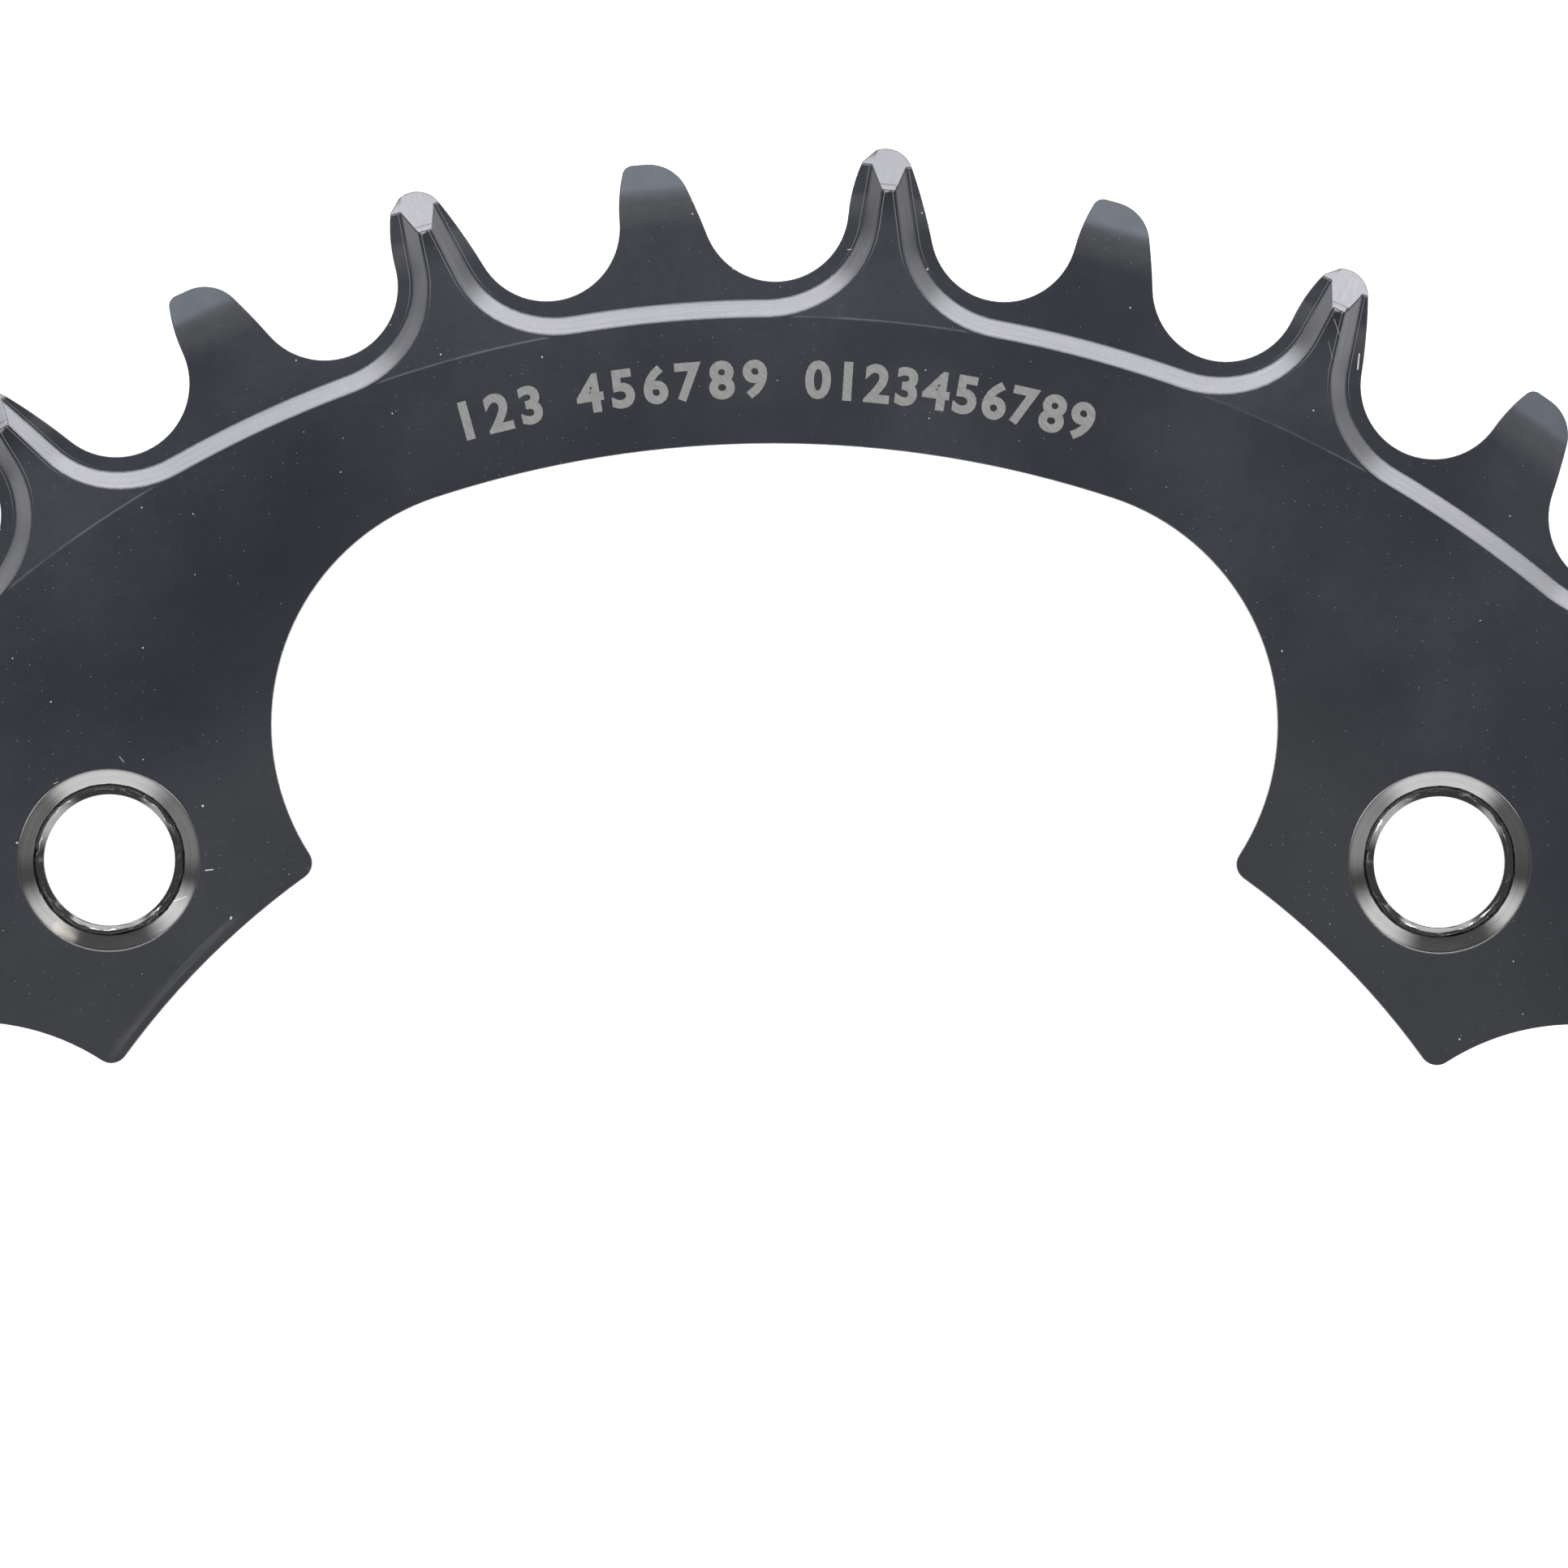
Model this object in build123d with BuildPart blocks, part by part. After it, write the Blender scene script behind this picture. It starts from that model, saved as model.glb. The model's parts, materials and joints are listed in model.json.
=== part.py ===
"""Narrow-wide bicycle chainring, machined in one piece from aluminium plate.

The ring lies flat with its front face up. Its centre is on the Z axis and its back
face is at Z = 0. Lengths are in millimetres and angles in degrees. Thin (narrow) and
thick (wide) teeth take turns. Each tooth is drawn as if it stood on the +Y axis, seen
from the front, and is then turned to its place.
"""
import os
from math import asin, atan2, cos, degrees, radians, sin, tan

from build123d import *

# Chain and tooth pattern
pair_count = 18
chain_pitch = 12.7
seat_radius = 4.05

# Tooth flanks: a steep one that pulls the chain and a leaning one behind it
steep_flank_radius = 9.0
leaning_flank_radius = 32.0
leaning_flank_angle = 16.3

# Wide tips, with heights above the pitch circle
wide_tip_height = 3.57
wide_tip_radius = 1.54
wide_facet_height = 2.72
wide_facet_angle = 115.6
tip_cone_height = 1.24
tip_cone_angle = 29.7

# Narrow tips, with heights above the pitch circle
narrow_tip_height = 2.75
narrow_tip_radius = 2.31
narrow_corner_radius = 0.6
narrow_bevel_height = 1.15
narrow_bevel_angle = 11.0

# Thickness of the plate, of the narrow teeth, and the shallow cone under the ridges
plate_thickness = 4.0
narrow_thickness = 2.06
cone_inset = 5.99
cone_drop = 0.19

# Bevelled pockets that thin the narrow teeth on both faces
pocket_inset = 5.06
pocket_taper = 45.0
land_width = 0.83
pocket_blend_angle = 35.0
steep_ridge_angle = 4.6
leaning_ridge_angle = 13.5

# Rim, scalloped opening and bolt tabs
rim_width = 7.95
scallop_radius = 13.2
tab_count = 4
tab_half_width = 7.8
tab_inset = 7.75
tab_corner_radius = 0.95

# Threaded bolt holes
bolt_circle = 104.0
bolt_hole_radius = 3.63
front_chamfer = 1.42
back_chamfer = 0.47


def polar(centre, radius, angle):
    """Point at an angle on a circle about a centre."""
    x = centre[0] + radius * cos(radians(angle))
    y = centre[1] + radius * sin(radians(angle))
    return (x, y)


# Pitch circle and the two roller seats beside a tooth
tooth_count = 2 * pair_count
half_tooth = 180 / tooth_count
pitch_radius = chain_pitch / 2 / sin(radians(half_tooth))
left_seat = polar((0, 0), pitch_radius, 90 + half_tooth)
right_seat = polar((0, 0), pitch_radius, 90 - half_tooth)
seat_sweep = 90 - half_tooth

# Centres of the two flank arcs, each tangent to its seat
steep_centre = (left_seat[0] + seat_radius + steep_flank_radius, left_seat[1])
leaning_reach = seat_radius + leaning_flank_radius
leaning_centre = polar(right_seat, leaning_reach, 180 + leaning_flank_angle)

# Narrow tip: a round tangent to the leaning flank, a flat, and a small steep corner
narrow_top = pitch_radius + narrow_tip_height
narrow_reach = leaning_flank_radius - narrow_tip_radius
narrow_rise = narrow_top - narrow_tip_radius - leaning_centre[1]
narrow_angle = degrees(asin(narrow_rise / narrow_reach))
narrow_centre = polar(leaning_centre, narrow_reach, narrow_angle)
corner_reach = steep_flank_radius - narrow_corner_radius
corner_rise = narrow_top - narrow_corner_radius - steep_centre[1]
corner_angle = degrees(asin(corner_rise / corner_reach))
corner_centre = polar(steep_centre, corner_reach, 180 - corner_angle)

# Wide tip: a round tangent to the leaning flank and a facet on the steep side
wide_reach = leaning_flank_radius - wide_tip_radius
wide_rise = pitch_radius + wide_tip_height - wide_tip_radius - leaning_centre[1]
wide_angle = degrees(asin(wide_rise / wide_reach))
wide_centre = polar(leaning_centre, wide_reach, wide_angle)
facet_rise = pitch_radius + wide_facet_height - steep_centre[1]
facet_angle = degrees(asin(facet_rise / steep_flank_radius))

# Pocket floor: arcs about two seats, eased into the arc under the narrow tooth
pocket_depth = (plate_thickness - narrow_thickness) / 2
front_floor = plate_thickness - pocket_depth
pocket_radius = pitch_radius - pocket_inset
land_radius = seat_radius + land_width
land_span = pocket_radius + land_radius
ease_divisor = 2 * (land_span - pitch_radius * cos(radians(pocket_blend_angle)))
ease = (pitch_radius**2 - land_span**2) / ease_divisor
blend_radius = land_radius + ease
blend_angle = pocket_blend_angle - 90 - half_tooth
right_blend = polar(right_seat, -ease, blend_angle)
left_blend = (-right_blend[0], right_blend[1])
floor_angle = degrees(atan2(right_blend[0], right_blend[1]))
blend_sweep = blend_angle + 90 + floor_angle

# Pocket walls beside the two ridges, run on until they are clear of the tips
steep_angle = -steep_ridge_angle - 2 * half_tooth
leaning_angle = -leaning_ridge_angle - 2 * half_tooth
right_ridge = polar(right_seat, land_radius, steep_angle)
left_ridge = polar(left_seat, land_radius, 180 - leaning_angle)
wall_length = wide_tip_height + seat_radius
right_corner = polar(right_ridge, wall_length, 90 + steep_angle)
left_corner = polar(left_ridge, wall_length, 90 - leaning_angle)

# Turned section: flat faces, shallow cones under the ridges, steep cones at the tips
middle = plate_thickness / 2
flat_radius = pitch_radius - cone_inset
cone_radius = pitch_radius + tip_cone_height
apex_radius = cone_radius + (middle - cone_drop) / tan(radians(tip_cone_angle))

# Bevels on the narrow tips, drawn on a radial plane through each narrow tooth
bevel_start = pitch_radius + narrow_bevel_height
bevel_drop = (apex_radius - bevel_start) * tan(radians(narrow_bevel_angle))
pair_angle = 360 / pair_count
narrow_turns = [half_tooth + pair * pair_angle for pair in range(pair_count)]
outward = [polar((0, 0), 1, 90 + turn) for turn in narrow_turns]
narrow_planes = [Plane((0, 0, 0), x_dir=(x, y, 0), z_dir=(y, -x, 0)) for x, y in outward]

# Opening: the corner of each scallop is tangent to the rim and to the side of a tab
web_radius = pocket_radius - rim_width
half_tab_angle = 180 / tab_count
bay_reach = web_radius - scallop_radius
bay_angle = half_tab_angle - degrees(asin((tab_half_width + scallop_radius) / bay_reach))
left_bay = polar((0, 0), bay_reach, 90 + bay_angle)
right_bay = polar((0, 0), bay_reach, 90 - bay_angle)
bay_sweep = 90 + half_tab_angle - bay_angle
left_side = polar(left_bay, scallop_radius, 180 + half_tab_angle)
right_side = polar(right_bay, scallop_radius, -half_tab_angle)
register_radius = bolt_circle / 2 - tab_inset

with BuildPart() as chainring:
    # Blank, turned to its tip cones
    with BuildSketch(Plane.XZ) as blank:
        with BuildLine() as blank_edge:
            Polyline(
                (0, 0),
                (flat_radius, 0),
                (cone_radius, cone_drop),
                (apex_radius, middle),
                (cone_radius, plate_thickness - cone_drop),
                (flat_radius, plate_thickness),
                (0, plate_thickness),
                close=True,
            )
        make_face()
    revolve(axis=Axis.Z)

    # One narrow tooth, from valley to valley
    with BuildLine() as narrow_tooth:
        CenterArc(left_seat, seat_radius, -seat_sweep, seat_sweep)
        CenterArc(steep_centre, steep_flank_radius, 180, -corner_angle)
        CenterArc(corner_centre, narrow_corner_radius, 180 - corner_angle, corner_angle - 90)
        Line((corner_centre[0], narrow_top), (narrow_centre[0], narrow_top))
        CenterArc(narrow_centre, narrow_tip_radius, 90, narrow_angle - 90)
        CenterArc(
            leaning_centre,
            leaning_flank_radius,
            narrow_angle,
            leaning_flank_angle - narrow_angle,
        )
        CenterArc(
            right_seat,
            seat_radius,
            180 + leaning_flank_angle,
            seat_sweep - leaning_flank_angle,
        )

    # One wide tooth, from valley to valley
    with BuildLine() as wide_tooth:
        CenterArc(left_seat, seat_radius, -seat_sweep, seat_sweep)
        CenterArc(steep_centre, steep_flank_radius, 180, -facet_angle)
        Line(
            polar(steep_centre, steep_flank_radius, 180 - facet_angle),
            polar(wide_centre, wide_tip_radius, wide_facet_angle),
        )
        CenterArc(
            wide_centre,
            wide_tip_radius,
            wide_facet_angle,
            wide_angle - wide_facet_angle,
        )
        CenterArc(
            leaning_centre,
            leaning_flank_radius,
            wide_angle,
            leaning_flank_angle - wide_angle,
        )
        CenterArc(
            right_seat,
            seat_radius,
            180 + leaning_flank_angle,
            seat_sweep - leaning_flank_angle,
        )

    # Full outline, with a valley on the +Y axis
    with BuildSketch() as outline:
        with BuildLine() as outline_edge:
            for turn in narrow_turns:
                add(narrow_tooth.line.rotate(Axis.Z, turn))
                add(wide_tooth.line.rotate(Axis.Z, turn - 2 * half_tooth))
        make_face()
    extrude(amount=plate_thickness, mode=Mode.INTERSECT)

    # Opening, with a scallop between each two tabs
    with BuildSketch() as opening:
        Circle(register_radius)
        with BuildLine() as scallop:
            CenterArc((0, 0), web_radius, 90 - bay_angle, 2 * bay_angle)
            CenterArc(left_bay, scallop_radius, 90 + bay_angle, bay_sweep)
            CenterArc(right_bay, scallop_radius, 90 - bay_angle, -bay_sweep)
            Line(left_side, (0, 0))
            Line(right_side, (0, 0))
        bay = make_face(mode=Mode.PRIVATE)
        with PolarLocations(0, tab_count):
            add(bay)
        tab_corners = opening.vertices().group_by(lambda v: round(v.center().length, 1))[0]
        fillet(tab_corners, radius=tab_corner_radius)
    extrude(amount=plate_thickness, mode=Mode.SUBTRACT)

    # Bolt holes, one through each tab, chamfered on both faces
    with Locations((0, 0, plate_thickness)):
        with PolarLocations(bolt_circle / 2, tab_count, start_angle=90 + half_tab_angle):
            CounterSinkHole(
                radius=bolt_hole_radius,
                counter_sink_radius=bolt_hole_radius + front_chamfer,
                depth=plate_thickness,
                counter_sink_angle=90,
            )
    hole_edges = chainring.edges().filter_by(
        lambda edge: edge.geom_type == GeomType.CIRCLE
        and abs(edge.radius - bolt_hole_radius) < 0.001
    )
    chamfer(hole_edges.group_by(Axis.Z)[0], length=back_chamfer)

    # Floor of the pocket round one narrow tooth
    with BuildLine() as pocket_edge:
        Line(left_corner, left_ridge)
        CenterArc(left_seat, land_radius, 180 - leaning_angle, leaning_angle - blend_angle)
        CenterArc(left_blend, blend_radius, 180 - blend_angle, blend_sweep)
        CenterArc((0, 0), pocket_radius, 90 + floor_angle, -2 * floor_angle)
        CenterArc(right_blend, blend_radius, -90 - floor_angle, blend_sweep)
        CenterArc(right_seat, land_radius, blend_angle, steep_angle - blend_angle)
        Line(right_ridge, right_corner)
        Line(right_corner, left_corner)

    # Pockets of the front face, widening as they rise
    with BuildSketch(Plane.XY.offset(front_floor)) as front_pockets:
        pocket = make_face(pocket_edge.edges(), mode=Mode.PRIVATE)
        with PolarLocations(0, pair_count, start_angle=half_tooth):
            add(pocket)
    extrude(amount=pocket_depth, taper=-pocket_taper, mode=Mode.SUBTRACT)

    # Pockets of the back face, widening downwards
    with BuildSketch(Plane.XY.offset(pocket_depth)) as back_pockets:
        with PolarLocations(0, pair_count, start_angle=half_tooth):
            add(pocket)
    extrude(amount=-pocket_depth, taper=-pocket_taper, mode=Mode.SUBTRACT)

    # Shallow bevels on both sides of the narrow tips
    with BuildSketch(*narrow_planes) as tip_bevels:
        with BuildLine() as front_bevel:
            Polyline(
                (bevel_start, front_floor),
                (apex_radius, front_floor),
                (apex_radius, front_floor - bevel_drop),
                close=True,
            )
        make_face()
        with BuildLine() as back_bevel:
            Polyline(
                (bevel_start, pocket_depth),
                (apex_radius, pocket_depth),
                (apex_radius, pocket_depth + bevel_drop),
                close=True,
            )
        make_face()
    extrude(amount=seat_radius, both=True, mode=Mode.SUBTRACT)

chainring.part.label = "chainring"
os.makedirs("parts", exist_ok=True)
export_step(chainring.part, "parts/chainring.step")
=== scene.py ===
# %% [markdown]
# # A narrow-wide chainring
#
# The real object is one flat ring of aluminium plate. It was turned, milled, drilled,
# tapped and then anodised black. Thin and thick teeth take turns, so that each fills
# its own kind of link in the chain.
#
# The imported model gives the true shape. Its box is kept here.

import json
from math import acos, asin, atan2, ceil, copysign, cos, degrees
from math import hypot, pi, radians, sin, sqrt, tan

import bmesh
import bpy
import numpy as np
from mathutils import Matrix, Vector
from mathutils.geometry import delaunay_2d_cdt

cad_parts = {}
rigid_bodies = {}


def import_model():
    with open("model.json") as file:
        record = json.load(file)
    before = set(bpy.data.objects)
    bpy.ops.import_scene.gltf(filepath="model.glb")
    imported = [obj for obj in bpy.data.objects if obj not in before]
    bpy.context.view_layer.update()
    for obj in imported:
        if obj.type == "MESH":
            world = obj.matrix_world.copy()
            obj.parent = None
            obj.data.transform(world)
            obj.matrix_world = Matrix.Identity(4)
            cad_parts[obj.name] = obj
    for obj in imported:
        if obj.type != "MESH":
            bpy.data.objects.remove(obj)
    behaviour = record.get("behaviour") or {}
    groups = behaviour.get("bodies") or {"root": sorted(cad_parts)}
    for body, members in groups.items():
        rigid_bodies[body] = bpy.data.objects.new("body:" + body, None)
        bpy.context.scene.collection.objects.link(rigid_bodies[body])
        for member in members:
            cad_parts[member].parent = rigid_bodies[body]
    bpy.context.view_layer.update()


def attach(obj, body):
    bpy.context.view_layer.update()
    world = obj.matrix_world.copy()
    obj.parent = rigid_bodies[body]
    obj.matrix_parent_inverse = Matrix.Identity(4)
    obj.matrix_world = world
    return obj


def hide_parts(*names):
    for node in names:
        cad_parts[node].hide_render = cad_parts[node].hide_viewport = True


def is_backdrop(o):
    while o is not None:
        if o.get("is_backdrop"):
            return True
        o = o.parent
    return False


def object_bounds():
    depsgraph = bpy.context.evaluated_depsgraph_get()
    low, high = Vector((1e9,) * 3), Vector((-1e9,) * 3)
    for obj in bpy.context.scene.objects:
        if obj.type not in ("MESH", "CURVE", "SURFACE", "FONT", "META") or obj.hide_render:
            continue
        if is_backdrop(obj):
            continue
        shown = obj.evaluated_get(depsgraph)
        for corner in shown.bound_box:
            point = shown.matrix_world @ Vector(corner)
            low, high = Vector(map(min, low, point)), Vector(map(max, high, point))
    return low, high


for leftover in list(bpy.data.objects):
    bpy.data.objects.remove(leftover)
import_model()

# %% [markdown]
# ## Sizes
#
# These are the sizes that the ring was made to, in millimetres and degrees. A tooth is
# drawn as if it stood straight up. Its seats are the two hollows beside it that the
# chain's rollers rest in.

# %% Sizes of the ring
pair_count = 18
half_tooth = 5.0
pitch_radius = 12.7 / 2 / sin(radians(half_tooth))
seat_radius = 4.05
steep_radius, leaning_radius, leaning_angle = 9.0, 32.0, 16.3
wide_height, wide_round, facet_height, facet_angle = 3.57, 1.54, 2.72, 115.6
narrow_height, narrow_round, narrow_corner = 2.75, 2.31, 0.6
middle, half_narrow = 2.0, 1.03
flat_radius, cone_drop = pitch_radius - 5.99, 0.19
cone_radius, cone_slope = pitch_radius + 1.24, tan(radians(29.7))
bevel_start, bevel_slope = pitch_radius + 1.15, tan(radians(11.0))
pocket_radius, land_radius, blend_turn = pitch_radius - 5.06, seat_radius + 0.83, 35.0
steep_ridge, leaning_ridge = 4.6, 13.5
web_radius, scallop_radius, register_radius = pocket_radius - 7.95, 13.2, 44.25
tab_half_width, tab_corner = 7.8, 0.95
bolt_ring, bolt_radius, front_chamfer, back_chamfer = 52.0, 3.63, 1.42, 0.47
relief_heights, relief_radii = (2.70, 2.86, 2.93, 3.28), (3.63, 3.9, 4.10, 4.2)
chamfer_slope = tan(radians(40.0))
thread_pitch, thread_depth = 0.75, 0.4
print("teeth:", 2 * pair_count, "on a circle of", round(2 * pitch_radius, 2), "mm")

# %% [markdown]
# ## Curves as a machinist draws them
#
# Every outline on this ring is made of arcs and straight lines that run smoothly into
# each other. Each is kept as its centre, radius, start and sweep. That gives two things
# that a list of points can't: points as close together as the curve needs, and the
# exact distance from any place to the curve. The left of the way along a curve is the
# side that has no metal, or that rises.

# %% Arcs and lines
def polar(centre, radius, angle):
    turn = radians(angle)
    return (centre[0] + radius * cos(turn), centre[1] + radius * sin(turn))


def clockwise(points, turn):
    """Points turned clockwise about the axis by an angle in degrees."""
    away = radians(turn)
    u, v = points[..., 0], points[..., 1]
    across = u * cos(away) + v * sin(away)
    return np.stack([across, v * cos(away) - u * sin(away)], -1)


def arc(centre, radius, start, sweep):
    return ("arc", centre, radius, start, sweep)


def line(start, end):
    return ("line", start, end)


print("up, turned by 90 degrees:", clockwise(np.array([0.0, 1.0]), 90).round(3))

# %% Points along a curve
def walk(curve, error=0.004, longest=1.2):
    """Points along a curve of arcs and lines, and the way to its left at each."""
    points, lefts = [], []
    for kind, *shape in curve:
        if kind == "arc":
            centre, radius, start, sweep = shape
            step = 2 * degrees(acos(1 - error / max(radius, 2 * error)))
            step = min(step, 9.0, degrees(longest / radius))
            count = max(1, ceil(abs(sweep) / step))
            turns = np.radians(start + sweep * np.arange(count + 1) / count)
            ways = np.stack([np.cos(turns), np.sin(turns)], 1)
            spots = np.array(centre) + radius * ways
            ways = -copysign(1, sweep) * ways
        else:
            start, end = np.array(shape[0]), np.array(shape[1])
            size = float(np.linalg.norm(end - start))
            count = max(1, ceil(size / longest))
            spots = start + (end - start) * (np.arange(count + 1) / count)[:, None]
            way = (end - start) / size
            ways = np.repeat([[-way[1], way[0]]], count + 1, 0)
        first = 1 if points else 0
        points.extend(spots[first:])
        lefts.extend(ways[first:])
    return np.array(points), np.array(lefts)


print("points round a bolt hole:", len(walk([arc((0, 0), bolt_radius, 0, 360)])[0]))

# %% Distance to a curve
def distance(curve, x, y):
    """Distance from each place to a curve, above zero on its left, and where along it."""
    nearest = np.full(np.shape(x), 1e9)
    signed, along, done = np.zeros_like(nearest), np.zeros_like(nearest), 0.0
    for kind, *shape in curve:
        if kind == "arc":
            centre, radius, start, sweep = shape
            side = -copysign(1, sweep)
            px, py = x - centre[0], y - centre[1]
            reach = np.hypot(px, py)
            turned = (np.degrees(np.arctan2(py, px)) - start) * copysign(1, sweep)
            turned = np.mod(turned + 1e-9, 360)
            on = turned <= abs(sweep) + 2e-9
            gap = (reach - radius) * side
            size = radius * radians(abs(sweep))
            ends = []
            for end in (start, start + sweep):
                ex, ey = polar(centre, radius, end)
                nx, ny = polar((0, 0), 1, end)
                beyond = (x - ex) * nx + (y - ey) * ny > 0
                ends.append(np.hypot(x - ex, y - ey) * np.where(beyond, side, -side))
            closer = np.abs(ends[1]) < np.abs(ends[0])
            gap = np.where(on, gap, np.where(closer, ends[1], ends[0]))
            place = np.where(on, np.radians(turned) * radius, np.where(closer, size, 0.0))
        else:
            (sx, sy), (ex, ey) = shape
            size = hypot(ex - sx, ey - sy)
            wx, wy = (ex - sx) / size, (ey - sy) / size
            place = np.clip((x - sx) * wx + (y - sy) * wy, 0, size)
            off = np.hypot(x - sx - place * wx, y - sy - place * wy)
            left = (y - sy) * wx - (x - sx) * wy
            gap = np.where(left > 0, off, -off)
        better = np.abs(gap) < nearest
        signed = np.where(better, gap, signed)
        along = np.where(better, done + place, along)
        nearest = np.minimum(np.abs(gap), nearest)
        done += size
    return signed, along


beside_line = distance([line((0, 0), (1, 0))], np.array([0.5]), np.array([3.0]))
print("distance and place along a line:", *beside_line)

# %% [markdown]
# ## The two teeth
#
# Both teeth have the same flanks: a steep one that the chain pulls on, and a leaning
# one behind it. A narrow tooth ends in a flat with a small corner and a larger round.
# A wide tooth is taller and ends in a round with a straight facet on its steep side.
# Where that facet meets the flank, the real edge is just broken, so a round of 0.12 mm
# goes there.

# %% Outlines of the narrow and the wide tooth
left_seat = polar((0, 0), pitch_radius, 90 + half_tooth)
right_seat = polar((0, 0), pitch_radius, 90 - half_tooth)
seat_sweep = 90 - half_tooth
steep_centre = (left_seat[0] + seat_radius + steep_radius, left_seat[1])
leaning_centre = polar(right_seat, seat_radius + leaning_radius, 180 + leaning_angle)


def tip_round(centre, radius, round_radius, top):
    """Turn and centre of a round that runs into a flank arc and reaches up to a height."""
    rise = top - round_radius - centre[1]
    turn = degrees(asin(rise / (radius - round_radius)))
    return turn, polar(centre, radius - round_radius, turn)


narrow_top = pitch_radius + narrow_height
leaning_flank, steep_flank = (leaning_centre, leaning_radius), (steep_centre, steep_radius)
narrow_turn, narrow_centre = tip_round(*leaning_flank, narrow_round, narrow_top)
corner_turn, mirrored = tip_round(*steep_flank, narrow_corner, narrow_top)
corner_centre = (2 * steep_centre[0] - mirrored[0], mirrored[1])
valley_start = arc(left_seat, seat_radius, -seat_sweep, seat_sweep)
valley_end = arc(right_seat, seat_radius, 180 + leaning_angle, seat_sweep - leaning_angle)

narrow_tooth = [
    valley_start,
    arc(*steep_flank, 180, -corner_turn),
    arc(corner_centre, narrow_corner, 180 - corner_turn, corner_turn - 90),
    line((corner_centre[0], narrow_top), (narrow_centre[0], narrow_top)),
    arc(narrow_centre, narrow_round, 90, narrow_turn - 90),
    arc(*leaning_flank, narrow_turn, leaning_angle - narrow_turn),
    valley_end,
]

wide_top = pitch_radius + wide_height
wide_turn, wide_centre = tip_round(*leaning_flank, wide_round, wide_top)
facet_rise = pitch_radius + facet_height - steep_centre[1]
facet_turn = degrees(asin(facet_rise / steep_radius))
facet_low = np.array(polar(steep_centre, steep_radius, 180 - facet_turn))
facet_high = np.array(polar(wide_centre, wide_round, facet_angle))
facet_way = (facet_high - facet_low) / np.linalg.norm(facet_high - facet_low)
facet_left = np.array([-facet_way[1], facet_way[0]])
broken = 0.12
inner = facet_low - broken * facet_left - np.array(steep_centre)
ahead = inner @ facet_way
root = sqrt(ahead**2 - inner @ inner + (steep_radius - broken) ** 2)
slide = min(root - ahead, -root - ahead, key=abs)
broken_centre = tuple(facet_low - broken * facet_left + slide * facet_way)
broken_turn = degrees(
    atan2(broken_centre[1] - steep_centre[1], broken_centre[0] - steep_centre[0])
)
facet_normal = degrees(atan2(facet_left[1], facet_left[0]))

wide_tooth = [
    valley_start,
    arc(*steep_flank, 180, broken_turn - 180),
    arc(broken_centre, broken, broken_turn, facet_normal - broken_turn),
    line(polar(broken_centre, broken, facet_normal), tuple(facet_high)),
    arc(wide_centre, wide_round, facet_angle, wide_turn - facet_angle),
    arc(*leaning_flank, wide_turn, leaning_angle - wide_turn),
    valley_end,
]
print("tooth tips, mm:", round(narrow_top, 3), round(wide_top, 3))
print("points:", len(walk(narrow_tooth)[0]), "and", len(walk(wide_tooth)[0]))

# %% [markdown]
# ## The pocket round a narrow tooth
#
# A cutter with a 45 degree flank ran round each narrow tooth, on both faces. It left a
# thin tooth on a sunken floor, and bevels that climb to the full thickness. Two pockets
# leave a ridge on the wide tooth between them. This is the edge of the floor; the bevel
# rises on its left.

# %% Edge of the pocket floor
land_span = pocket_radius + land_radius
ease = (pitch_radius**2 - land_span**2) / (
    2 * (land_span - pitch_radius * cos(radians(blend_turn)))
)
blend_radius, blend_angle = land_radius + ease, blend_turn - 90 - half_tooth
right_blend = polar(right_seat, -ease, blend_angle)
left_blend = (-right_blend[0], right_blend[1])
floor_angle = degrees(atan2(right_blend[0], right_blend[1]))
blend_sweep = blend_angle + 90 + floor_angle
steep_angle = -steep_ridge - 2 * half_tooth
lean_angle = -leaning_ridge - 2 * half_tooth
right_ridge = polar(right_seat, land_radius, steep_angle)
left_ridge = polar(left_seat, land_radius, 180 - lean_angle)
ridge_run = 7.62
right_corner = polar(right_ridge, ridge_run, 90 + steep_angle)
left_corner = polar(left_ridge, ridge_run, 90 - lean_angle)

pocket_edge = [
    line(right_corner, right_ridge),
    arc(right_seat, land_radius, steep_angle, blend_angle - steep_angle),
    arc(right_blend, blend_radius, blend_angle, -blend_sweep),
    arc((0, 0), pocket_radius, 90 - floor_angle, 2 * floor_angle),
    arc(left_blend, blend_radius, 270 + floor_angle, -blend_sweep),
    arc(left_seat, land_radius, 180 - blend_angle, blend_angle - lean_angle),
    line(left_ridge, left_corner),
]
print("pocket floor's edge:", len(walk(pocket_edge)[0]), "points")

# %% [markdown]
# ## The opening
#
# The opening has four scallops that leave four bolt tabs. The round end of each tab
# centres the ring on its crank. One quarter is drawn, with a scallop in the middle and
# half a tab on each side. The empty side is on its left.

# %% Outline of a quarter of the opening
bay_reach = web_radius - scallop_radius
bay_angle = 45 - degrees(asin((tab_half_width + scallop_radius) / bay_reach))
left_bay = polar((0, 0), bay_reach, 90 + bay_angle)
right_bay = polar((0, 0), bay_reach, 90 - bay_angle)
near, far = register_radius + tab_corner, scallop_radius + tab_corner
spread = degrees(acos((near**2 + bay_reach**2 - far**2) / (2 * near * bay_reach)))
right_round = polar((0, 0), near, 90 - bay_angle - spread)
round_turn = degrees(
    atan2(right_round[1] - right_bay[1], right_round[0] - right_bay[0])
)
register_turn = 90 - bay_angle - spread
corner_sweep = register_turn - round_turn
scallop_sweep = 90 - bay_angle - round_turn

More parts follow.
